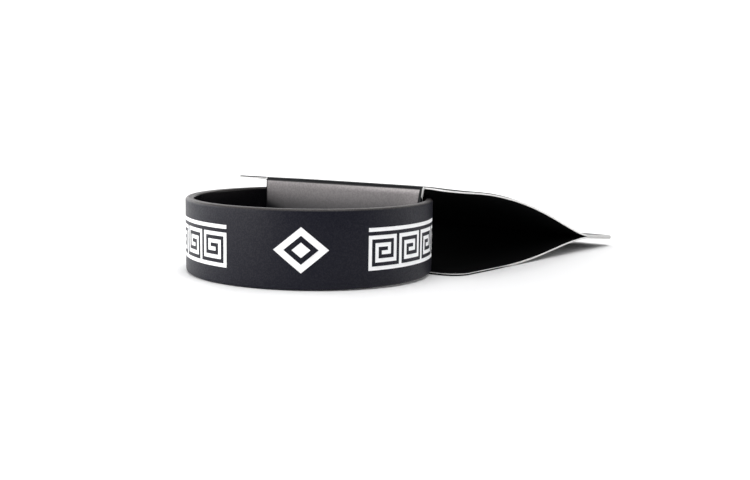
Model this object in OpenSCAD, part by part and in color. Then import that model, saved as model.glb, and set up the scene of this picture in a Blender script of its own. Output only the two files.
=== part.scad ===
// Silicone wristband standing on its rim, held by a folded display card.
// X runs along the card's spine, Y runs from the band towards the card's glued tab.
// The band's own shapes are drawn about the band's axis, then the whole part is
// centred on the middle of its footprint, with the surface it stands on at z = 0.

/* [Band] */
// Inner diameter, about 201 mm round the inside
band_id = 64; // [60:0.5:64]
// Thickness of the wall
band_wall = 2.3; // [1.8:0.1:2.4]
// Height from rim to rim
band_h = 20.3; // [19:0.1:20.6]
// Radius of the rounded rim edges
rim_r = 0.8; // [0.4:0.1:1]

/* [Sunk pattern] */
// Turn of the printed front away from the card's face
front_turn = 33.3; // [0:0.1:60]
// Depth of the sunk pattern
sink = 0.35; // [0.2:0.05:0.6]
// How far the white fill lies below the band's face
fill_drop = 0.03; // [0.01:0.01:0.1]
// Gap between the fill and the walls and floor of its recess
fill_gap = 0.03; // [0.01:0.01:0.05]

/* [Front motif] */
// Half the width of the outer lozenge
loz_x = 7; // [5:0.1:8]
// Half the height of the outer lozenge
loz_z = 5.8; // [4:0.1:7]
// Width of the outer lozenge's frame
loz_frame = 1.7; // [1:0.1:2]
// Size of the inner lozenge as a share of the outer one
loz_inner = 0.34; // [0.2:0.01:0.4]

/* [Key fret] */
// Width of a stroke
stroke = 1.05; // [0.8:0.05:1.2]
// Distance between the centre lines of neighbouring strokes
pitch = 1.97; // [1.9:0.01:2.1]
// Height of the lowest stroke's lower edge above the band's lower rim
fret_z = 4.5; // [3:0.1:5]
// Number of keys on each side
keys = 5; // [2:1:6]
// Turn from the front to the first stroke on the right
right_start = 29; // [25:0.5:40]
// Turn from the front to the first stroke on the left
left_start = 34; // [25:0.5:40]

/* [Display card] */
// Thickness of the board
card_t = 0.65; // [0.55:0.05:0.7]
// Distance from the band's axis to the spine's face
spine_y = 14.6; // [14.6:0.1:18]
// Gap between each end of the spine and the band's inner wall
spine_gap = 0.1; // [0.1:0.1:6]
// Height of the card's top crease above the band's upper rim
card_rise = 3.7; // [3.7:0.1:4.5]
// Outer radius of the two creases
crease_r = 1.1; // [0.9:0.1:1.5]
// Reach of the right ear from the band's axis
ear_right = 38.8; // [36:0.1:42]
// Reach of the left ear from the band's axis
ear_left = 40.6; // [36:0.1:42]
// Sideways run of the sheets' edges for each millimetre away from the spine
askew = 0.09; // [0:0.005:0.1]
// Radius of the sheets' corners
corner_r = 2; // [1:0.5:4]
// Distance from the spine to the seam
seam_y = 80.5; // [74:0.5:84]
// Height of the seam above the surface
seam_z = 4.8; // [4:0.1:5.5]
// Length of the glued tab beyond the seam
tab_l = 21.2; // [15:0.1:23]
// Downward slope of the tab
tab_slope = 5.5; // [3:0.1:7]

/* [Hidden] */
$fn = 96;

band_r = band_id / 2 + band_wall;
// The spine is as long as the chord of the band's hollow, less a gap at each end
spine_x = sqrt(pow(band_id / 2, 2) - pow(spine_y + crease_r, 2)) - spine_gap;
card_h = band_h + card_rise;
// The ears of both sheets begin where the creases end
ear_n = crease_r;
// The band's front touches the surface and its back rides on the card's lower sheet
rest_gap = 0.05;
band_tilt = atan((card_t + rest_gap) / (spine_y + ear_n + band_r - rim_r));

// Sides of the whole part's footprint, about the band's axis
box_left = -ear_left + askew * (ear_n + corner_r);
box_right = ear_right + askew * (seam_y + tab_l - corner_r);
box_front = -band_r - (band_h - 2 * rim_r) * sin(band_tilt);
box_back = spine_y + seam_y + tab_l * cos(tab_slope);
footprint_mid = [(box_left + box_right) / 2, (box_front + box_back) / 2, 0];

// Turn about the band's axis for a length on its outer face
function turn(length) = length / band_r * 180 / PI;

// Centre line of the silicone ridge that winds between one key's strokes, in pitches.
// It starts inside the straight ridge under the upper border stripe.
key_line = [
    [4.5, 4.25], [4.5, 0.5], [0.5, 0.5], [0.5, 3.5], [3.5, 3.5],
    [3.5, 1.5], [1.5, 1.5], [1.5, 2.5], [2.5, 2.5]
];
top_ridge = 4.5;
// A key repeats after this many pitches, and the borders are this many pitches apart
key_step = 5;
fret_w = keys * key_step * pitch + stroke;
fret_h = key_step * pitch + stroke;
ridge = pitch - stroke;
// How far a cutting shape runs past what it cuts
cut_past = 1.5;

// Way a ridge runs from its point i, and the corner of its outline at that point
function way(i) = (key_line[i + 1] - key_line[i]) / norm(key_line[i + 1] - key_line[i]);
function ridge_corner(i, half, hand) =
    let (
        last = len(key_line) - 1,
        before = way(max(i - 1, 0)),
        after = way(min(i, last - 1))
    ) key_line[i] * pitch + half * (
        i == 0 ? hand * left_of(after) - after :
        i == last ? hand * left_of(before) + before :
        hand * (left_of(before) + left_of(after))
    );

// Stand the band on its front lower rim and lift its back onto the card
module seat_band() {
    rim_y = band_r - rim_r;
    translate(-footprint_mid)
        translate([0, -rim_y, rim_r])
            rotate([band_tilt, 0, 0])
                translate([0, rim_y, -rim_r])
                    children();
}

// Turn the printed front, drawn facing +X, to its place
module face_front() {
    rotate([0, 0, front_turn - 90]) children();
}

module tube(r_in, r_out) {
    difference() {
        cylinder(r = r_out, h = band_h);
        translate([0, 0, -cut_past]) cylinder(r = r_in, h = band_h + 2 * cut_past);
    }
}

// Wall section with four rounded edges, spun into the plain band
module plain_band() {
    rotate_extrude() {
        translate([band_id / 2, rim_r]) square([band_wall, band_h - 2 * rim_r]);
        translate([band_id / 2 + rim_r, 0]) square([band_wall - 2 * rim_r, band_h]);
        for (x = [band_id / 2 + rim_r, band_r - rim_r])
            for (z = [rim_r, band_h - rim_r])
                translate([x, z]) circle(r = rim_r);
    }
}

// Rectangle bent round the band, from r_in to r_out; x is measured from the fret's first edge
module bent(x0, x1, z0, z1, start, side, r_in, r_out) {
    from = start + turn(x0);
    to = start + turn(x1);
    rotate([0, 0, side > 0 ? from : -to])
        rotate_extrude(angle = to - from)
            translate([r_in, z0]) square([r_out - r_in, z1 - z0]);
}

// One key's ridge seen square on, about the key's middle and the lower border's centre line,
// and made wider by inset on both sides
module flat_ridge(side, inset) {
    half = ridge / 2 + inset;
    last = len(key_line) - 1;
    outline = [
        for (i = [0 : last]) ridge_corner(i, half, 1),
        for (i = [last : -1 : 0]) ridge_corner(i, half, -1)
    ];
    polygon([for (p = outline) [side * band_r * sin(turn(p[0] - key_step / 2 * pitch)), p[1]]]);
}

// Running keys between two border stripes, side = 1 to the right and -1 to the left:
// a whole panel from r_in to r_out, less the ridges
module fret(start, side, inset, r_in, r_out) {
    half = ridge / 2 + inset;
    low_line = fret_z + stroke / 2;
    top_line = low_line + top_ridge * pitch;
    key_w = key_step * pitch;
    r_cut = r_in - cut_past;
    face_front()
        difference() {
            bent(inset, fret_w - inset, fret_z + inset, fret_z + fret_h - inset, start, side, r_in, r_out);
            bent(-1, fret_w + 1, top_line - half, top_line + half, start, side, r_cut, r_out + cut_past);
            for (k = [0 : keys - 1])
                rotate([0, 0, side * (start + turn((k + 0.5) * key_w + stroke / 2))])
                    translate([r_cut, 0, low_line])
                        rotate([90, 0, 90])
                            linear_extrude(r_out - r_in + 2 * cut_past) flat_ridge(side, inset);
        }
}

// Lozenge with its sides moved in by inset
module lozenge(half_x, half_z, inset) {
    share = 1 - inset * norm([half_x, half_z]) / (half_x * half_z);
    polygon(share * [[half_x, 0], [0, half_z], [-half_x, 0], [0, -half_z]]);
}

// A framed lozenge with a solid one inside it, cut out of the tube between r_in and r_out
module motif(inset, r_in, r_out) {
    intersection() {
        tube(r_in, r_out);
        face_front()
            translate([0, 0, band_h / 2])
                rotate([90, 0, 90])
                    linear_extrude(band_r + cut_past) {
                        difference() {
                            lozenge(loz_x, loz_z, inset);
                            lozenge(loz_x, loz_z, loz_frame - inset);
                        }
                        lozenge(loz_x * loz_inner, loz_z * loz_inner, inset);
                    }
    }
}

module silicone_band() {
    bottom = band_r - sink;
    past = band_r + cut_past / 2;
    color([0.17, 0.17, 0.19])
        seat_band()
            difference() {
                plain_band();
                motif(0, bottom, past);
                fret(right_start, 1, 0, bottom, past);
                fret(left_start, -1, 0, bottom, past);
            }
}

module front_motif_fill() {
    color([0.96, 0.96, 0.96])
        seat_band()
            motif(fill_gap, band_r - sink + fill_gap, band_r - fill_drop);
}

module right_fret_fill() {
    color([0.95, 0.95, 0.96])
        seat_band()
            fret(right_start, 1, fill_gap, band_r - sink + fill_gap, band_r - fill_drop);
}

module left_fret_fill() {
    color([0.95, 0.95, 0.95])
        seat_band()
            fret(left_start, -1, fill_gap, band_r - sink + fill_gap, band_r - fill_drop);
}

// Section of the card, with y from the spine's face and z from the surface.
// A sheet's curve is a cubic through four points, and its other face lies card_t away.
function cubic(p, t) =
    pow(1 - t, 3) * p[0] + 3 * t * pow(1 - t, 2) * p[1] + 3 * t * t * (1 - t) * p[2] + pow(t, 3) * p[3];
function cubic_way(p, t) =
    pow(1 - t, 2) * (p[1] - p[0]) + 2 * t * (1 - t) * (p[2] - p[1]) + t * t * (p[3] - p[2]);
function left_of(v) = [-v[1], v[0]] / norm(v);
function sheet(p, away, steps) =
    [for (i = [0 : steps]) cubic(p, i / steps) + away * left_of(cubic_way(p, i / steps))];
function arc(mid, r, from, to, steps) =
    [for (i = [0 : steps]) mid + r * [cos(from + (to - from) * i / steps), sin(from + (to - from) * i / steps)]];
function reverse(list) = [for (i = [len(list) - 1 : -1 : 0]) list[i]];

sheet_steps = 24;
crease_steps = 6;
corner_steps = 8;
inner_r = crease_r - card_t;
low_crease = [crease_r, crease_r];
top_crease = [crease_r, card_h - crease_r];
// The upper sheet leaves its crease falling by this much, and reaches the seam falling by that
leave_slope = 3.6;
seam_slope = 10;
seam = [seam_y, seam_z];
tab_way = [cos(tab_slope), -sin(tab_slope)];
tab_end = seam + tab_l * tab_way;
top_start = top_crease + inner_r * [sin(leave_slope), cos(leave_slope)];
// Inner face of the upper sheet, then of the lower one, which lies flat and then rises.
// The reaches say how far each end's own slope carries into the curve.
top_reach = [42, 17];
top_face = [
    top_start,
    top_start + top_reach[0] * [cos(leave_slope), -sin(leave_slope)],
    seam + top_reach[1] * [-cos(seam_slope), sin(seam_slope)],
    seam
];
flat_end = [22, card_t];
low_reach = [29, 20];
low_face = [flat_end, flat_end + [low_reach[0], 0], seam - [low_reach[1], 0], seam];

module card_section() {
    difference() {
        polygon(concat(
            arc(low_crease, crease_r, 270, 180, crease_steps),
            arc(top_crease, crease_r, 180, 90 - leave_slope, crease_steps),
            sheet(top_face, card_t, sheet_steps),
            [tab_end + card_t * left_of(tab_way), tab_end - card_t * left_of(tab_way)],
            reverse(sheet(low_face, -card_t, sheet_steps))
        ));
        polygon(concat(
            arc(low_crease, inner_r, 270, 180, crease_steps),
            arc(top_crease, inner_r, 180, 90 - leave_slope, crease_steps),
            sheet(top_face, 0, sheet_steps),
            reverse(sheet(low_face, 0, sheet_steps))
        ));
    }
}

// Corner of an anticlockwise outline at b, between a and c, rounded to radius r
function corner(a, b, c, r) =
    let (
        u = (a - b) / norm(a - b),
        v = (c - b) / norm(c - b),
        opening = acos(u * v),
        mid = b + (u + v) / norm(u + v) * r / sin(opening / 2),
        from = atan2(u[0], -u[1])
    ) arc(mid, r, from, from + 180 - opening, corner_steps);

// Plan of the card: two sheets askew to the spine, with the narrower spine before them
module card_plan() {
    far = seam_y + tab_l * cos(tab_slope) - card_t;
    p = [
        [-ear_left + askew * ear_n, ear_n],
        [ear_right + askew * ear_n, ear_n],
        [ear_right + askew * far, far],
        [-ear_left + askew * far, far]
    ];
    polygon([for (i = [0 : 3]) each corner(p[(i + 3) % 4], p[i], p[(i + 1) % 4], corner_r)]);
    translate([-spine_x, -1]) square([2 * spine_x, ear_n + 2]);
}

module display_card() {
    // Longer than the card is wide, so that the plan alone sets its ends
    long = 2 * (ear_left + ear_right);
    color([0.12, 0.12, 0.13])
        translate([0, spine_y, 0] - footprint_mid)
            intersection() {
                translate([-long / 2, 0, 0])
                    rotate([90, 0, 90])
                        linear_extrude(long) card_section();
                translate([0, 0, -1])
                    linear_extrude(card_h + 2) card_plan();
            }
}

silicone_band();
front_motif_fill();
right_fret_fill();
left_fret_fill();
display_card();
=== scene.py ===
import math

import bmesh
import bpy
import numpy as np
from mathutils import Matrix, Vector


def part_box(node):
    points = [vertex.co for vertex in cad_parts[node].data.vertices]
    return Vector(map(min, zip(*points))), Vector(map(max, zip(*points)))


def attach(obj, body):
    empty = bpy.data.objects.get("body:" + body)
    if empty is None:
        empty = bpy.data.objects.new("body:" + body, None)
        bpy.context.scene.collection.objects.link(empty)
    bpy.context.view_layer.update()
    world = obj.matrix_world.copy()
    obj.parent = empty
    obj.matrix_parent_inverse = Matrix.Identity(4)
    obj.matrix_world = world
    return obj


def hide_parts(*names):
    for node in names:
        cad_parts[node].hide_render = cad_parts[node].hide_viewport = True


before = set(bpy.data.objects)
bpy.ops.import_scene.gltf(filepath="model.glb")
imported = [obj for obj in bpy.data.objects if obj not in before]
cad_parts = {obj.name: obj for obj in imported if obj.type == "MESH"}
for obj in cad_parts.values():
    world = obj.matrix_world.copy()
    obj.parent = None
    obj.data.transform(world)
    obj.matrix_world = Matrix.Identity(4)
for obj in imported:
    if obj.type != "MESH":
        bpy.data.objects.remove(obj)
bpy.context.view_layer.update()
mm = 0.001

# The silicone band
# One moulded ring of black silicone, 202 mm round the inside, with rounded rims and a pattern
# sunk into its outer face. It is spun here from its wall section, and the pattern is cut out of
# it. Its front rim touches the surface, and its back rides on the display card.


class Term:
    """An output of a node, which + - * / and ** turn into Math nodes."""

    def __init__(self, graph, socket):
        self.graph, self.socket = graph, socket

    def maths(self, operation, *values):
        sockets = dict(enumerate(values))
        return self.graph.make("ShaderNodeMath", {"operation": operation}, sockets)

    def out(self, name):
        return Term(self.graph, self.socket.node.outputs[name])

    def __add__(self, other):
        return self.maths("ADD", self, other)

    def __radd__(self, other):
        return self.maths("ADD", other, self)

    def __sub__(self, other):
        return self.maths("SUBTRACT", self, other)

    def __rsub__(self, other):
        return self.maths("SUBTRACT", other, self)

    def __mul__(self, other):
        return self.maths("MULTIPLY", self, other)

    def __rmul__(self, other):
        return self.maths("MULTIPLY", other, self)

    def __truediv__(self, other):
        return self.maths("DIVIDE", self, other)

    def __rtruediv__(self, other):
        return self.maths("DIVIDE", other, self)

    def __pow__(self, other):
        return self.maths("POWER", self, other)

    def above(self, limit):
        return self.maths("GREATER_THAN", self, limit)

    def floor(self):
        return self.maths("FLOOR", self)

    def ease(self, low, high):
        """0 below low, 1 above high, and a smooth rise between them."""
        settings = {"interpolation_type": "SMOOTHSTEP"}
        values = {"Value": self, "From Min": low, "From Max": high}
        return self.graph.make("ShaderNodeMapRange", settings, values)


class Graph:
    """Makes the nodes of one tree."""

    def __init__(self, tree):
        self.tree = tree

    def make(self, kind, settings={}, sockets={}, out=0):
        """Adds a node with its settings and its sockets' values or links, and gives one output."""
        node = self.tree.nodes.new(kind)
        for name, value in settings.items():
            setattr(node, name, value)
        for name, value in sockets.items():
            terms = value if isinstance(value, list) else [value]
            if isinstance(terms[0], Term):
                for term in terms:
                    self.tree.links.new(term.socket, node.inputs[name])
            else:
                node.inputs[name].default_value = value
        return Term(self, node.outputs[out]) if len(node.outputs) else node


class Finish(Graph):
    """A material: its tree, its shader's fixed values, and the patterns that feed it."""

    def __init__(self, name, **fixed):
        self.material = bpy.data.materials.new(name)
        self.material.use_nodes = True
        super().__init__(self.material.node_tree)
        self.shader = self.tree.nodes["Principled BSDF"]
        for socket, value in fixed.items():
            self.shader.inputs[socket.replace("_", " ")].default_value = value
        self.place = self.make("ShaderNodeTexCoord", out="Object")

    def feed(self, **links):
        for socket, term in links.items():
            self.tree.links.new(term.socket, self.shader.inputs[socket.replace("_", " ")])

    def noise(self, grain, detail=2.0, seed=0.0, roughness=0.5):
        """Even noise from 0 to 1 whose lumps are about as wide as grain."""
        settings = {"noise_dimensions": "4D"}
        values = {"Vector": self.place, "W": seed, "Scale": 1 / grain,
                  "Detail": detail, "Roughness": roughness}
        return self.make("ShaderNodeTexNoise", settings, values, "Fac")

    def mix(self, factor, low, high):
        settings = {"data_type": "RGBA"}
        return self.make("ShaderNodeMix", settings, {0: factor, 6: low, 7: high}, 2)

    def bump(self, height, depth, below=None):
        """Relief of a 0 to 1 height over that depth in metres."""
        values = {"Height": height, "Distance": depth}
        if below:
            values["Normal"] = below
        return self.make("ShaderNodeBump", {}, values, "Normal")


def new_tree(name, **inputs):
    """A Geometry Nodes tree with a geometry input and these inputs by kind, and its first term."""
    tree = bpy.data.node_groups.new(name, "GeometryNodeTree")
    tree.interface.new_socket("Geometry", in_out="INPUT", socket_type="NodeSocketGeometry")
    for kind, labels in inputs.items():
        for label in labels:
            tree.interface.new_socket(label, in_out="INPUT", socket_type="NodeSocket" + kind)
    tree.interface.new_socket("Geometry", in_out="OUTPUT", socket_type="NodeSocketGeometry")
    graph = Graph(tree)
    return graph, graph.make("NodeGroupInput")


def end_tree(graph, shape, material):
    """Ends a tree with real geometry that wears the material."""
    real = graph.make("GeometryNodeRealizeInstances", {}, {"Geometry": shape})
    dressed = graph.make("GeometryNodeSetMaterial", {}, {"Geometry": real, "Material": material})
    graph.make("NodeGroupOutput", {}, {"Geometry": dressed})


def grow(name, graph, mesh, **sizes):
    """Runs a tree on a mesh, and gives what it makes as a plain mesh object."""
    seed = bpy.data.objects.new(name + "_seed", mesh)
    bpy.context.scene.collection.objects.link(seed)
    modifier = seed.modifiers.new("grow", "NODES")
    modifier.node_group = graph.tree
    for item in graph.tree.interface.items_tree:
        key = item.name.lower().replace(" ", "_")
        if item.in_out == "INPUT" and key in sizes:
            modifier[item.identifier] = sizes[key]
    grown = seed.evaluated_get(bpy.context.evaluated_depsgraph_get())
    made = bpy.data.objects.new(name, bpy.data.meshes.new_from_object(grown))
    seed.modifiers.remove(modifier)
    bpy.data.objects.remove(seed)
    bpy.context.scene.collection.objects.link(made)
    return made


band_bore = 64 * mm
band_wall = 2.3 * mm
band_height = 20.3 * mm
rim_radius = 0.8 * mm
band_radius = band_bore / 2 + band_wall
sink = 0.35 * mm
front_turn = math.radians(33.3 - 90)

low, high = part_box("silicone_band")
lift = high.z - low.z - band_height
tilt = math.asin(lift / (2 * (band_radius - rim_radius)))
front_rim = low.y + rim_radius + (band_height - 2 * rim_radius) * math.sin(tilt)
seat = (
    Matrix.Translation(((low.x + high.x) / 2, front_rim, rim_radius))
    @ Matrix.Rotation(tilt, 4, "X")
    @ Matrix.Translation((0, band_radius - rim_radius, -rim_radius))
)

silicone = Finish("black_silicone", Roughness=0.45, IOR=1.41, Specular_IOR_Level=0.2,
                  Specular_Tint=(1, 0.975, 0.95, 1), Coat_Roughness=0.38, Coat_IOR=1.41)
grain_size = 0.3 * mm
grain = silicone.noise(grain_size, seed=1.0)
mottle = silicone.noise(7 * mm, detail=3.0, seed=2.0)
haze = silicone.noise(22 * mm, seed=3.0)
# The core of the mould is polished, so the band's inner face is smoother than its outer one
band_axis = Vector(((low.x + high.x) / 2, front_rim + band_radius - rim_radius, 0))
band_spot = silicone.make("ShaderNodeSeparateXYZ", {}, {0: silicone.place}, "X")
off_x, off_y = band_spot - band_axis.x, band_spot.out("Y") - band_axis.y
off_bore = (off_x * off_x + off_y * off_y) ** 0.5 - band_bore / 2
outer_side = off_bore.ease(0.3 * mm, 1 * mm)
specks = 0.25 + 0.5 * silicone.noise(grain_size, detail=1.0, seed=4.0).ease(0.42, 0.62)
# A highlight is painted along the upper rim in a light grey, dotted like dust. It starts at one
# depth below the rim's top and is full at the other.
highlight_start = 0.7 * mm
highlight_full = 0.15 * mm
up_band = band_spot.out("Z") - (band_spot.out("Y") - front_rim) * math.tan(tilt)
on_rim = up_band.ease(band_height - highlight_start, band_height - highlight_full)
rim_highlight = on_rim * (0.55 + 0.45 * specks)
black = (0.0018, 0.0022, 0.0085, 1)
worn_black = (0.0030, 0.0035, 0.0105, 1)
speck_grey = (0.0060, 0.0064, 0.0130, 1)
# Darker, neutral black painted on the inner face as shade
inner_shade_black = (0.0020, 0.0020, 0.0030, 1)
# Light grey of the painted rim highlight
rim_highlight_grey = (0.062, 0.057, 0.055, 1)
mottled = silicone.mix(mottle * outer_side, black, worn_black)
speckled = silicone.mix(specks * outer_side, mottled, speck_grey)
speckled = silicone.mix(outer_side, inner_shade_black, speckled)
silicone.feed(
    Base_Color=silicone.mix(rim_highlight, speckled, rim_highlight_grey),
    Roughness=0.25 + outer_side * (0.12 + 0.08 * haze + 0.12 * grain),
    Coat_Weight=0.05 + outer_side * 0.3 * specks,
    Normal=silicone.bump(grain * outer_side, 0.06 * mm, silicone.bump(mottle, 0.03 * mm)),
)

# The band's pattern, before it is wrapped: one key as it is charted on a grid whose columns and
# rows are by turns as wide as a stroke and as the silicone between two strokes, and a lozenge
# in a lozenge for the front.
key_chart = """
##########
..........
#########.
#.......#.
#.#####.#.
#.#...#.#.
#.#.###.#.
#.#.....#.
#.#######.
#.........
##########
""".split()
keys = 5
stroke = 1.05 * mm
pitch = 1.97 * mm
fret_foot = 4.5 * mm
fret_starts = {"right": (1, math.radians(29)), "left": (-1, math.radians(34))}
lozenge_half = Vector((7, 5.8)) * mm
lozenge_frame = 1.7 * mm
lozenge_core = 0.34


def flat_mesh(name, points, faces):
    mesh = bpy.data.meshes.new(name)
    mesh.from_pydata([(x, y, 0) for x, y in points], [], faces)
    return mesh


def charted_key():
    """The key's cells in grid steps, with shared corners."""
    across, up = len(key_chart[0]), len(key_chart)
    cells = [(x, y) for y in range(up) for x in range(across) if key_chart[up - 1 - y][x] == "#"]
    corners = [(x + i, y + j) for x, y in cells for i, j in ((0, 0), (1, 0), (1, 1), (0, 1))]
    points = sorted(set(corners))
    place = {point: n for n, point in enumerate(points)}
    faces = [[place[c] for c in corners[n:n + 4]] for n in range(0, len(corners), 4)]
    return flat_mesh("charted_key", points, faces)


def lozenge_points(half, inset):
    share = 1 - inset * half.length / (half.x * half.y)
    return [(x * half.x * share, y * half.y * share) for x, y in ((1, 0), (0, 1), (-1, 0), (0, -1))]


def lozenges(inset):
    """The framed lozenge and the one inside it, with their edges moved in by inset."""
    outer = lozenge_points(lozenge_half, inset)
    inner = lozenge_points(lozenge_half, lozenge_frame - inset)
    core = lozenge_points(lozenge_half * lozenge_core, inset)
    frame_faces = [(n, (n + 1) % 4, (n + 1) % 4 + 4, n + 4) for n in range(4)]
    return flat_mesh("lozenges", outer + inner + core, frame_faces + [(8, 9, 10, 11)])


def key_run():
    """Tree that repeats the key along x, ends the run with one stroke, and gives it real sizes."""
    graph, given = new_tree("key run", Int=("Keys", "Across"), Float=("Pitch", "Stroke", "Inset"))
    row = graph.make("GeometryNodeMeshLine", {}, {
        "Count": given.out("Keys") + 1,
        "Offset": graph.make("ShaderNodeCombineXYZ", {}, {"X": given.out("Across")}),
    })
    run = graph.make("GeometryNodeInstanceOnPoints", {}, {
        "Points": row, "Instance": given.out("Geometry")})
    run = graph.make("GeometryNodeRealizeInstances", {}, {"Geometry": run})
    run = graph.make("GeometryNodeMergeByDistance", {}, {"Geometry": run, "Distance": 0.01})
    cell = graph.make("ShaderNodeSeparateXYZ", {}, {0: graph.make("GeometryNodeInputPosition")}, "X")
    past = cell.above(given.out("Keys") * given.out("Across") + 1)
    run = graph.make("GeometryNodeDeleteGeometry", {"domain": "FACE"}, {
        "Geometry": run, "Selection": past})
    # An even grid line starts a stroke and the odd one after it ends that stroke. The nudge keeps
    # a whole number from being rounded down.
    nudge = 0.1
    stroke_width = given.out("Stroke") - 2 * given.out("Inset")
    spaced = []
    for axis in ("X", "Y"):
        pairs = cell.out(axis) / 2 + nudge
        whole = pairs.floor()
        odd = (pairs - whole).above(0.5)
        spaced.append(whole * given.out("Pitch") + odd * stroke_width + given.out("Inset"))
    there = graph.make("ShaderNodeCombineXYZ", {}, {"X": spaced[0], "Y": spaced[1]})
    run = graph.make("GeometryNodeSetPosition", {}, {"Geometry": run, "Position": there})
    graph.make("NodeGroupOutput", {}, {"Geometry": run})
    return graph


def wrap():
    """Tree that thickens a flat pattern and bends it round the band."""
    graph, given = new_tree(
        "wrap", Int=("Splits",), Material=("Material",),
        Float=("Inner Radius", "Outer Radius", "Band Radius", "Foot", "Start", "Side", "Turn",
               "Dish", "Dish Reach"))
    flat = graph.make("GeometryNodeSubdivideMesh", {}, {
        "Mesh": given.out("Geometry"), "Level": given.out("Splits")})
    # The pattern's outline is the edges with one face, and the fill is dished away from it
    sides = graph.make("GeometryNodeInputMeshEdgeNeighbors")
    edge = graph.make("GeometryNodeSeparateGeometry", {"domain": "EDGE"}, {
        "Geometry": flat, "Selection": sides.maths("COMPARE", sides, 1, 0.1)})
    near = graph.make("GeometryNodeProximity", {"target_element": "EDGES"}, {0: edge}, "Distance")
    dish = near.ease(0, given.out("Dish Reach")) * given.out("Dish")
    flat = graph.make("GeometryNodeStoreNamedAttribute", {"data_type": "FLOAT", "domain": "POINT"},
                      {"Geometry": flat, "Name": "dish", "Value": dish})
    raised = graph.make("GeometryNodeExtrudeMesh", {"mode": "FACES"}, {
        "Mesh": flat, "Individual": False, "Offset Scale": 1.0,
        "Offset": graph.make("ShaderNodeCombineXYZ", {}, {"Z": 1.0})})
    under = graph.make("GeometryNodeFlipFaces", {}, {"Mesh": flat})
    shell = graph.make("GeometryNodeJoinGeometry", {}, {"Geometry": [raised, under]})
    solid = graph.make("GeometryNodeMergeByDistance", {}, {"Geometry": shell, "Distance": 1e-6})
    sunk = graph.make("GeometryNodeInputNamedAttribute", {"data_type": "FLOAT"}, {"Name": "dish"})
    place = graph.make("ShaderNodeSeparateXYZ", {}, {0: graph.make("GeometryNodeInputPosition")}, "X")
    depth = given.out("Outer Radius") - sunk - given.out("Inner Radius")
    radius = given.out("Inner Radius") + place.out("Z") * depth
    angle = given.out("Turn") + given.out("Side") * (
        given.out("Start") + place.out("X") / given.out("Band Radius"))
    bent = graph.make("ShaderNodeCombineXYZ", {}, {
        "X": radius * angle.maths("COSINE", angle),
        "Y": radius * angle.maths("SINE", angle),
        "Z": place.out("Y") + given.out("Foot"),
    })
    solid = graph.make("GeometryNodeSetPosition", {}, {"Geometry": solid, "Position": bent})
    end_tree(graph, solid, given.out("Material"))
    return graph


def outward(obj, sharp=math.radians(35)):
    """Turns a closed piece's faces outwards and shades it smooth between its sharp edges."""
    shape = bmesh.new()
    shape.from_mesh(obj.data)
    bmesh.ops.recalc_face_normals(shape, faces=shape.faces)
    shape.to_mesh(obj.data)
    shape.free()
    obj.data.shade_smooth()
    obj.data.set_sharp_from_angle(angle=sharp)
    return obj


key_run_tree, wrap_tree = key_run(), wrap()


def wrapped_pattern(name, inset, inner, outer, material, splits, dish):
    """The three parts of the pattern as bent solids between two radii."""
    shared = dict(inner_radius=inner, outer_radius=outer, band_radius=band_radius, turn=front_turn,
                  dish=dish, dish_reach=0.4 * mm, material=material)
    parts = {}
    for hand, (side, start) in fret_starts.items():
        run = grow("run", key_run_tree, charted_key(), keys=keys, across=len(key_chart[0]),
                   pitch=pitch, stroke=stroke, inset=inset)
        parts[hand] = grow(f"{hand}_{name}", wrap_tree, run.data, foot=fret_foot, start=start,
                           side=float(side), splits=splits, **shared)
        bpy.data.objects.remove(run)
    parts["front"] = grow(f"front_{name}", wrap_tree, lozenges(inset), foot=band_height / 2,
                          start=0.0, side=1.0, splits=splits + 2, **shared)
    return parts


def band_wall_tree():
    """Tree that spins the wall section round the axis and cuts the pattern out of it."""
    graph, given = new_tree(
        "band wall", Int=("Steps",), Object=("Cutter",), Material=("Material",),
        Float=("Bore", "Wall", "Height", "Rim Radius"))
    section = graph.make("GeometryNodeCurvePrimitiveQuadrilateral", {}, {
        "Width": given.out("Wall"), "Height": given.out("Height")})
    section = graph.make("GeometryNodeFilletCurve", {"mode": "POLY"}, {
        "Curve": section, "Radius": given.out("Rim Radius"), "Count": 7})
    middle_radius = (given.out("Bore") + given.out("Wall")) / 2
    ring = graph.make("GeometryNodeCurvePrimitiveCircle", {}, {
        "Resolution": given.out("Steps"), "Radius": middle_radius}, "Curve")
    ring = graph.make("GeometryNodeSetCurveNormal", {"mode": "Z_UP"}, {"Curve": ring})
    wall = graph.make("GeometryNodeCurveToMesh", {}, {"Curve": ring, "Profile Curve": section})
    raise_by = graph.make("ShaderNodeCombineXYZ", {}, {"Z": given.out("Height") / 2})
    wall = graph.make("GeometryNodeTransform", {}, {"Geometry": wall, "Translation": raise_by})
    cutter = graph.make("GeometryNodeObjectInfo", {}, {"Object": given.out("Cutter")}, "Geometry")
    cut = graph.make("GeometryNodeMeshBoolean", {"operation": "DIFFERENCE", "solver": "MANIFOLD"},
                     {"Mesh 1": wall, "Mesh 2": cutter})
    end_tree(graph, cut, given.out("Material"))
    return graph


cutters = wrapped_pattern("cutter", 0.0, band_radius - sink, band_radius + 1 * mm,
                          silicone.material, splits=0, dish=0.0)
joined = bmesh.new()
for part in cutters.values():
    joined.from_mesh(part.data)
    bpy.data.objects.remove(part)
bmesh.ops.recalc_face_normals(joined, faces=joined.faces)
cutter = bpy.data.objects.new("cutter", bpy.data.meshes.new("cutter"))
joined.to_mesh(cutter.data)
joined.free()
bpy.context.scene.collection.objects.link(cutter)

empty_mesh = bpy.data.meshes.new("nothing")
band = grow("band", band_wall_tree(), empty_mesh, bore=band_bore, wall=band_wall, height=band_height,
            rim_radius=rim_radius, steps=720, cutter=cutter, material=silicone.material)
bpy.data.objects.remove(cutter)
band.data.transform(seat)
outward(band)
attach(band, "root")
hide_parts("silicone_band")

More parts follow.
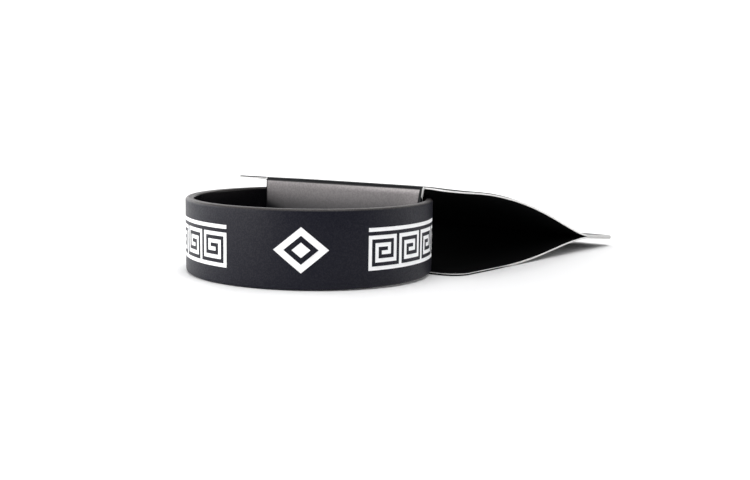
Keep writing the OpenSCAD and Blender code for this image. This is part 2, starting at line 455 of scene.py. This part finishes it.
# The white fill of the sunk pattern
# White silicone ink that was wiped into the sunk strokes and cured there. It ends a little below
# the band's face, and it is slightly dished between the walls of its stroke.
fill_drop = 0.03 * mm
fill_gap = 0.03 * mm
fill_dish = 0.05 * mm

ink = Finish("white_ink", Roughness=0.5, IOR=1.41, Specular_IOR_Level=0.4)
pores = ink.noise(0.12 * mm, seed=11.0)
cloud = ink.noise(1.6 * mm, seed=12.0)
thin_white = (0.95, 0.95, 0.96, 1)
full_white = (0.98, 0.98, 0.985, 1)
ink.feed(
    Base_Color=ink.mix(cloud, thin_white, full_white),
    Roughness=0.42 + 0.2 * cloud,
    Normal=ink.bump(pores, 0.006 * mm),
)
fills = wrapped_pattern("ink", fill_gap, band_radius - sink + fill_gap, band_radius - fill_drop,
                        ink.material, splits=2, dish=fill_dish)
fill_nodes = {"right": "right_fret_fill", "left": "left_fret_fill", "front": "front_motif_fill"}
for hand, fill in fills.items():
    fill.data.transform(seat)
    outward(fill)
    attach(fill, "root")
    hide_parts(fill_nodes[hand])

# The display card
# One piece of black board with a white core, scored and folded twice round a spine that stands
# inside the band, and glued to itself behind. The upper sheet bends over the band's back, and
# both sheets are wider than the spine, so their ears reach past its ends.
board = 0.65 * mm
crease = 1.1 * mm
spine_reach = {"left": 28.35 * mm, "right": 27.65 * mm}
ear_left = 40.6 * mm
ear_right = 38.8 * mm
askew = 0.09
ear_corners = {"left": 1 * mm, "right": 6 * mm}
tab_corner = 2 * mm
seam = np.array((80.5, 4.8)) * mm
tab_length = 20.5 * mm
tab_slope = math.radians(5.5)
leave_slope = math.radians(3.6)
seam_slope = math.radians(10)
upper_reach = (42 * mm, 17 * mm)
lower_flat = 22 * mm
lower_reach = (29 * mm, 20 * mm)
glue_line = 0.015 * mm
row_pitch = 0.45 * mm
# The knife came from the outside, and pressed the coat round the outer part of the cut edge
pressed = 0.62
shoulder = 0.2 * mm
# The spine's right end is cut in past its creases
notch = 0.4 * mm
notch_reach = 4 * mm
# The free board has sprung up along the top crease, and has sunk at its right end. Each pair is a
# place beside the band's axis and the board's rise there.
crease_spring = np.array(((-41, 0), (-27, 0.14), (-14, 0.32), (4, 0.4), (24, 0.45), (29, 0.35),
                          (34, 0), (39, -0.24))) * mm
spring_reach = 20 * mm

card_low, card_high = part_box("display_card")
card_height = card_high.z
axis_x = band_axis.x
spine_face = card_low.y


def along(angle, length=1.0):
    return length * np.array((math.cos(angle), math.sin(angle)))


def cubic(points):
    t = np.linspace(0, 1, 400)[:, None]
    a, b, c, d = (np.array(point)[None, :] for point in points)
    return (1 - t) ** 3 * a + 3 * t * (1 - t) ** 2 * b + 3 * t * t * (1 - t) * c + t ** 3 * d


def bend(centre, start, stop, count):
    turns = np.linspace(start, stop, count)
    return np.array(centre) + (crease - board) * np.stack([np.cos(turns), np.sin(turns)], axis=1)


def walked(path):
    """Length walked along a path at each of its points."""
    return np.concatenate(([0], np.cumsum(np.linalg.norm(np.diff(path, axis=0), axis=1))))


def rows_on(path, first_corner, last_corner):
    """Evenly spaced points on a path, which come closer together at a rounded corner."""
    walk = walked(path)
    corner_rows = 12
    close = 1 - np.cos(np.linspace(0, math.pi / 2, corner_rows))
    first = first_corner * close if first_corner else close[:1]
    last = walk[-1] - (last_corner * close[::-1] if last_corner else close[:1])
    between = np.linspace(first[-1], last[0], round((last[0] - first[-1]) / row_pitch) + 1)
    stops = np.concatenate((first, between[1:-1], last))
    return np.stack([np.interp(stops, walk, path[:, k]) for k in (0, 1)], axis=1)


def card_section():
    """Inner face of the board, from the lower layer of the tab round to the upper one."""
    right_angle = math.pi / 2
    bend_rows, leave_rows, spine_steps = 9, 4, 30
    low_centre = (crease, crease)
    top_centre = (crease, card_height - crease)
    join = seam + along(right_angle - tab_slope, glue_line)
    tab = np.stack((np.zeros(2), along(-tab_slope, tab_length)))
    lower = cubic([seam, seam - np.array((lower_reach[1], 0)),
                   np.array((lower_flat + lower_reach[0], board)), np.array((lower_flat, board))])
    lower = np.concatenate((lower, [(crease, board)]))
    top_turn = bend(top_centre, right_angle, right_angle - leave_slope, leave_rows)
    upper = cubic([top_turn[-1], top_turn[-1] + along(-leave_slope, upper_reach[0]),
                   join - along(-seam_slope, upper_reach[1]), join])
    upper = np.concatenate((top_turn, upper[1:]))
    up_spine = np.linspace(crease, card_height - crease, spine_steps)
    spine = np.stack([np.full(spine_steps, board), up_spine], axis=1)
    return np.concatenate([
        rows_on(seam + tab[::-1], tab_corner, 0),
        rows_on(lower, 0, ear_corners["right"])[1:],
        bend(low_centre, 3 * right_angle, math.pi, bend_rows)[1:],
        spine[1:],
        bend(top_centre, math.pi, right_angle, bend_rows)[1:],
        rows_on(upper, ear_corners["right"], 0)[1:],
        rows_on(join + tab, 0, tab_corner)[1:],
    ])


inside = card_section()
walk = walked(inside)
ways = np.stack([np.gradient(inside[:, k], walk) for k in (0, 1)], axis=1)
ways /= np.linalg.norm(ways, axis=1)[:, None]
outside = inside + board * np.stack([-ways[:, 1], ways[:, 0]], axis=1)
back = inside[:, 0]
tab_end = back.max()
spine_rows = back < crease - 1e-7
from_crease = np.minimum(inside[:, 1], card_height - inside[:, 1]) - crease
cut_share = np.clip(from_crease / notch_reach, 0, 1)
spine_cut = np.where(spine_rows, notch * cut_share * (2 - cut_share), 0)
halves = {"left": np.full(len(back), spine_reach["left"]), "right": spine_reach["right"] - spine_cut}


def cut_side(hand):
    """How much of its corner's turn is left at each row of a side, and the side's place past the
    spine's middle. That share is 1 on the sheets' ends and 0 past their corners."""
    corner = np.where(back < tab_end / 2, ear_corners[hand], tab_corner)
    turn_left = np.clip(1 - np.minimum(back - crease, tab_end - back) / corner, 0, 1)
    turn_left[spine_rows] = 0
    inset = corner * (1 - np.sqrt(1 - turn_left ** 2))
    reach = ear_right + askew * back if hand == "right" else ear_left - askew * back
    return turn_left, np.where(spine_rows, halves[hand], reach - inset)


left_turn, left = cut_side("left")
right_turn, right = cut_side("right")
# Each row's points, from the left ear over the spine's length to the right ear, and closer
# together at the edges
ear_shares = np.array((0, 0.02, 0.1, 0.25, 0.4, 0.55, 0.7, 0.85, 1))[None, :]
ears = ear_shares.shape[1] - 1
middle = np.concatenate(([-1, -0.99], np.linspace(-0.92, 0.92, 23), [0.99, 1]))[None, :]
left_half, right_half = halves["left"][:, None], halves["right"][:, None]
across = np.concatenate([
    -left[:, None] + ear_shares * (left[:, None] - left_half),
    (np.where(middle < 0, left_half, right_half) * middle)[:, 1:],
    right[:, None] + ear_shares[:, -2::-1] * (right_half - right[:, None]),
], axis=1)
rows, columns = across.shape

# The outer face ends short of the cut edge, by the shoulder. These are the ways inward from each
# edge, sideways and from row to row.
toward_x = np.zeros((rows, columns))
toward_x[:, 0] = np.where(spine_rows, 0, np.sqrt(1 - left_turn ** 2))
toward_x[:, -1] = np.where(spine_rows, 0, -np.sqrt(1 - right_turn ** 2))
toward_x[spine_rows, ears] = 1
toward_x[spine_rows, columns - 1 - ears] = -1
on_lower = np.arange(rows) < rows // 2
row_way = np.where(on_lower == (back > tab_end / 2), 1, -1)
toward_row = np.zeros((rows, columns))
toward_row[:, 0] = row_way * left_turn
toward_row[:, -1] = row_way * right_turn
for end in np.flatnonzero(left_turn > 1 - 1e-6):
    is_front = back[end] < tab_end / 2
    ends = np.r_[0:ears, columns - ears:columns] if is_front else np.arange(columns)
    toward_row[end, ends] = row_way[end]


def eased(share):
    share = np.clip(share, 0, 1)
    return share * share * (3 - 2 * share)


def sprung(x, y, z):
    """How far the board has sprung up along its top crease at a place."""
    fades = eased(1 - y / spring_reach) * eased(z / card_height * 2 - 1)
    return np.interp(x, crease_spring[:, 0], crease_spring[:, 1]) * fades


def laid_out(face, x, slide=0):
    """Places of a face's points, from its rows, its columns and a slide along the rows' way."""
    y = face[:, :1] + slide * ways[:, :1]
    z = face[:, 1:] + slide * ways[:, 1:]
    x, y, z = np.broadcast_arrays(x, y, z)
    return np.stack((x + axis_x, y + spine_face, z + sprung(x, y, z)), axis=-1).reshape(-1, 3)


def card_mesh():
    """The closed board. Its faces carry material 0 outside, 1 inside and 2 on the cut edges, and
    its points say how far through the board they are, from 0 inside to 1 outside."""
    count = rows * columns
    line = 2 * count
    edge_line = inside + pressed * (outside - inside)
    points = np.concatenate((
        laid_out(inside, across),
        laid_out(outside, across + shoulder * toward_x, shoulder * toward_row),
        laid_out(edge_line, across),
    ))
    through = np.repeat((0, 1, pressed), count)
    faces, kinds = [], []

    def there(r, c):
        """Whether the board fills the cell that starts at this row and column."""
        on_spine = spine_rows[r] or spine_rows[min(r + 1, rows - 1)]
        off_ears = ears <= c < columns - 1 - ears
        return 0 <= r < rows - 1 and 0 <= c < columns - 1 and (off_ears or not on_spine)

    for r in range(rows - 1):
        for c in range(columns - 1):
            if not there(r, c):
                continue
            a, b = r * columns + c, r * columns + c + 1
            d, e = a + columns, b + columns
            faces += [(a, b, e, d), (a + count, d + count, e + count, b + count)]
            kinds += [1, 0]
            for beside, (p, q) in (((r, c - 1), (a, d)), ((r, c + 1), (e, b)),
                                   ((r - 1, c), (b, a)), ((r + 1, c), (d, e))):
                if there(*beside):
                    continue
                faces += [(p, q, q + line, p + line), (p + line, q + line, q + count, p + count)]
                kinds += [2, 2]
    used, corners = np.unique(np.array(faces), return_inverse=True)
    mesh = bpy.data.meshes.new("card")
    mesh.from_pydata(points[used].tolist(), [], corners.reshape(-1, 4).tolist())
    mesh.polygons.foreach_set("material_index", kinds)
    mesh.attributes.new("through", "FLOAT", "POINT").data.foreach_set("value", through[used])
    return mesh


card = bpy.data.objects.new("card", card_mesh())
bpy.context.scene.collection.objects.link(card)

coat_black = (0.005, 0.0052, 0.0065, 1)
coat = Finish("card_coat", Roughness=0.4, IOR=1.45, Specular_IOR_Level=0.2)
card_spot = coat.make("ShaderNodeSeparateXYZ", {}, {0: coat.place}, "Z")
# The spine's face is printed with a warm grey panel. Shade is painted over it, darker towards its
# foot, and starting lower at its right end
panel_left = spine_reach["left"] - 0.5 * mm
panel_right = spine_reach["right"] - 1 * mm
panel_slant = 0.17
panel_top = 0.74 * mm
panel_rise = 0.006
shade_start = -3.2 * mm
shade_end = 9.2 * mm
shade_lag = 2 * mm
lag_start = 18 * mm
panel_grey = (0.325, 0.302, 0.304, 1)
shade_grey = (0.065, 0.063, 0.066, 1)
laid_grey = (0.05, 0.048, 0.048, 1)
# Lighter grey of the light painted below the crease
lit_top_grey = (0.57, 0.53, 0.533, 1)
lit_top_depth = 1.7 * mm
# How softly the print ends: each pair is where an edge of the panel starts and is full
top_edge = (-0.2 * mm, 0.1 * mm)
left_edge = (-0.1 * mm, 0.15 * mm)
right_edge = (-0.1 * mm, 0.1 * mm)
on_face = 1 - card_spot.out("Y").ease(spine_face + 0.3 * mm, spine_face + 0.4 * mm)
beside = card_spot.out("X") - axis_x
from_top = card_height - panel_top + panel_rise * beside - card_spot
from_left = beside + panel_left
from_right = panel_right - panel_slant * from_top - beside
panel = on_face * from_top.ease(*top_edge) * from_left.ease(*left_edge) * from_right.ease(*right_edge)
laid = coat.noise(0.45 * mm, seed=21.0).ease(0.38, 0.62)
scuff = coat.noise(9 * mm, detail=3.0, seed=22.0)
# Painted shade: the panel darkens towards its foot
panel_shade = (from_top - shade_lag * beside.ease(lag_start, panel_right)).ease(shade_start, shade_end)
grey = coat.mix(panel_shade, panel_grey, shade_grey)
# Light is painted on the print just below the crease, most of all to the right
lit_top_share = 0.2 + 0.7 * beside.ease(-panel_left / 2, panel_right)
lit_top = (1 - from_top.ease(0.1 * mm, lit_top_depth)) * lit_top_share
grey = coat.mix(lit_top, grey, lit_top_grey)
grey = coat.mix(laid * 0.22, grey, laid_grey)
# A shadow is painted over the panel's lower left corner, below a line that falls to the right
shadow_slope = 0.33
shadow_edge = (4.9 * mm, 7.6 * mm)
corner_shadow = (from_top - shadow_slope * from_left).ease(*shadow_edge)
grey = coat.mix(corner_shadow * 0.9, grey, coat_black)
coat.feed(
    Base_Color=coat.mix(panel, coat_black, grey),
    Roughness=0.36 + 0.12 * scuff,
    Normal=coat.bump(laid, 0.006 * mm),
)
lining = Finish("card_inside", Roughness=0.85, IOR=1.45, Specular_IOR_Level=0.05)
fibres = lining.noise(0.3 * mm, detail=3.0, seed=31.0)
fibre_black = (0.001, 0.001, 0.0012, 1)
fibre_grey = (0.003, 0.003, 0.0034, 1)
lining.feed(
    Base_Color=lining.mix(fibres, fibre_black, fibre_grey),
    Normal=lining.bump(fibres, 0.01 * mm),
)
core = Finish("card_core", Roughness=0.9, IOR=1.45, Specular_IOR_Level=0.1)
pulp = core.noise(0.35 * mm, detail=3.0, seed=41.0)
smudge = core.noise(2.5 * mm, seed=42.0)
depth = core.make("ShaderNodeAttribute", {"attribute_name": "through"}, {}, "Fac")
edge_spot = core.make("ShaderNodeSeparateXYZ", {}, {0: core.place}, "Z")
behind = edge_spot.out("Y") - spine_face
# The knife dragged the coat further over the lower sheet's edge, and the lower part of that edge is
# also painted black as the contact shadow of the gap under the sheet. The left ear's front edge is
# darker. On the spine's ends the lower part is painted shade and the upper part is left white.
# Each share is of the thickness.
low_coat_and_shadow = 0.37
ear_darkening = 0.18
end_shade = 0.5
end_lit_share = 0.9
on_low = 1 - edge_spot.ease(4.5 * mm, 5.5 * mm)
on_ear = 1 - (edge_spot.out("X") - axis_x + spine_reach["left"]).ease(-1 * mm, -0.5 * mm)
on_end = (1 - behind.ease(crease * 0.7, crease)) * (1 - on_ear)
end_top = edge_spot.ease(card_height - 3.6 * mm, card_height - 2.2 * mm)
edge_darkening = low_coat_and_shadow * on_low + ear_darkening * on_ear + on_end * (end_shade - end_lit_share * end_top)
# The darkening of the edges, coat and painted shade alike, fades along the sheets, and the tab's
# edge is greyer and mottled. Each pair is how far behind the spine that starts and is full.
darkening_end = (26 * mm, 38 * mm)
tab_grey_start = (77 * mm, 82 * mm)
darkening_fades = 1 - (behind + smudge * 8 * mm).ease(*darkening_end)
# Black on the cut edges: the coat, with painted shade and painted contact shadow
coat_and_shade = (depth + edge_darkening + 0.1 * pulp).ease(pressed + 0.04, pressed + 0.16) * darkening_fades
tab_greying = (behind + smudge * 3 * mm).ease(*tab_grey_start) * (0.6 + 0.4 * pulp)
clean_white = (0.94, 0.935, 0.925, 1)
smudged_white = (0.66, 0.655, 0.645, 1)
tab_edge_grey = (0.56, 0.555, 0.55, 1)
white = core.mix(pulp * smudge * 2, clean_white, smudged_white)
white = core.mix(tab_greying, white, tab_edge_grey)
core.feed(
    Base_Color=core.mix(coat_and_shade, white, coat_black),
    Normal=core.bump(pulp, 0.02 * mm),
)
for finish in (coat, lining, core):
    card.data.materials.append(finish.material)
outward(card, math.radians(60))
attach(card, "root")
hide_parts("display_card")

# The table and the light
# A white sweep under a wide soft light overhead, with white walls behind and to both sides that
# the silicone mirrors at its turned-away sides. The round backdrop is seen by the camera alone.
floor_drop = 0.02 * mm
floor_reach = 0.9
backdrop_reach = 6.0

camera_turn = math.radians(32.97)
aside = Vector((math.cos(camera_turn), math.sin(camera_turn), 0))
ahead = Vector((-math.sin(camera_turn), math.cos(camera_turn), 0))
upright = Vector((0, 0, 1))


def staged(name, shape, material):
    mesh = bpy.data.meshes.new(name)
    shape.to_mesh(mesh)
    shape.free()
    mesh.materials.append(material)
    made = bpy.data.objects.new(name, mesh)
    bpy.context.scene.collection.objects.link(made)
    return made


paper = Finish("white_sweep", Base_Color=(0.93, 0.93, 0.935, 1), Roughness=0.9, Specular_IOR_Level=0.1)
disc = bmesh.new()
bmesh.ops.create_circle(disc, cap_ends=True, segments=96, radius=floor_reach,
                        matrix=Matrix.Translation((0, 0, -floor_drop)))
staged("floor", disc, paper.material)

glow = bpy.data.materials.new("backdrop_white")
glow.use_nodes = True
glow.node_tree.nodes.clear()
glow_graph = Graph(glow.node_tree)
light = glow_graph.make("ShaderNodeEmission", {}, {"Color": (1, 1, 1, 1), "Strength": 1.2})
glow_graph.make("ShaderNodeOutputMaterial", {}, {"Surface": light})
ball = bmesh.new()
bmesh.ops.create_uvsphere(ball, u_segments=64, v_segments=32, radius=backdrop_reach)
backdrop = staged("backdrop", ball, glow)
for ray in ("diffuse", "glossy", "transmission", "volume_scatter", "shadow"):
    setattr(backdrop, "visible_" + ray, False)

world = bpy.data.worlds.new("studio")
bpy.context.scene.world = world
world.use_nodes = True
world.node_tree.nodes["Background"].inputs["Color"].default_value = (1, 1, 1, 1)
world.node_tree.nodes["Background"].inputs["Strength"].default_value = 0.02


def lamp(name, kind, strength, where, **sizes):
    """A lamp that points at the middle of the object."""
    light = bpy.data.lights.new(name, kind)
    light.energy = strength
    for key, value in sizes.items():
        setattr(light, key, value)
    made = bpy.data.objects.new(name, light)
    bpy.context.scene.collection.objects.link(made)
    made.location = where
    made.rotation_mode = "QUATERNION"
    made.rotation_quaternion = (-Vector(where)).to_track_quat("-Z", "Y")
    made.visible_camera = False


window_rise = math.radians(60)
window_turn = math.radians(25)
window_level = aside * math.sin(window_turn) - ahead * math.cos(window_turn)
window_way = upright * math.sin(window_rise) + window_level * math.cos(window_rise)
lamp("overhead", "SUN", 1.45, upright, angle=math.radians(55))
lamp("front_above", "SUN", 1.1, window_way, angle=math.radians(50))
# Turn from the way ahead towards the left and rise in degrees, width and height in metres, and
# brightness of each wall
walls = {
    "front_left": (130, 14, 1.0, 0.6, 5.6),
    "left": (85, 14, 1.1, 0.6, 4.7),
    "back_left": (40, 14, 1.1, 0.6, 2.75),
    "back": (0, 14, 1.1, 0.6, 1.0),
    "high_back": (0, 38, 1.6, 0.5, 2.65),
    "right": (-85, 14, 1.1, 0.6, 3.0),
}
wall_distance = 1.4
for name, (turn, rise, width, height, brightness) in walls.items():
    turn, rise = math.radians(turn), math.radians(rise)
    level = ahead * math.cos(turn) - aside * math.sin(turn)
    where = wall_distance * (level * math.cos(rise) + upright * math.sin(rise))
    lamp(name, "AREA", math.pi * width * height * brightness, where,
         shape="RECTANGLE", size=width, size_y=height)

# The camera stands where the photo was taken: it looks down by 7.3 degrees across the corner
# between the band and the card.
camera_dip = math.radians(7.27)
camera_roll = math.radians(1.38)
camera_distance = 266.4 * mm
aim_aside = 18.26 * mm
aim_height = 8.84 * mm
focal_pixels = 945.2
picture_width = 750

view_way = ahead * math.cos(camera_dip) - upright * math.sin(camera_dip)
view_up = ahead * math.sin(camera_dip) + upright * math.cos(camera_dip)
picture_right = aside * math.cos(camera_roll) + view_up * math.sin(camera_roll)
picture_up = view_up * math.cos(camera_roll) - aside * math.sin(camera_roll)
stand = band_axis + aside * aim_aside + upright * aim_height - view_way * camera_distance
camera = bpy.data.objects.new("camera", bpy.data.cameras.new("camera"))
bpy.context.scene.collection.objects.link(camera)
camera.data.lens = camera.data.sensor_width * focal_pixels / picture_width
camera.data.clip_start, camera.data.clip_end = 0.01, 50
camera.matrix_world = Matrix.Translation(stand) @ Matrix((
    (picture_right.x, picture_up.x, -view_way.x, 0),
    (picture_right.y, picture_up.y, -view_way.y, 0),
    (picture_right.z, picture_up.z, -view_way.z, 0),
    (0, 0, 0, 1),
))
bpy.context.scene.camera = camera

view = bpy.context.scene.view_settings
view.view_transform = "Standard"
view.look = "None"
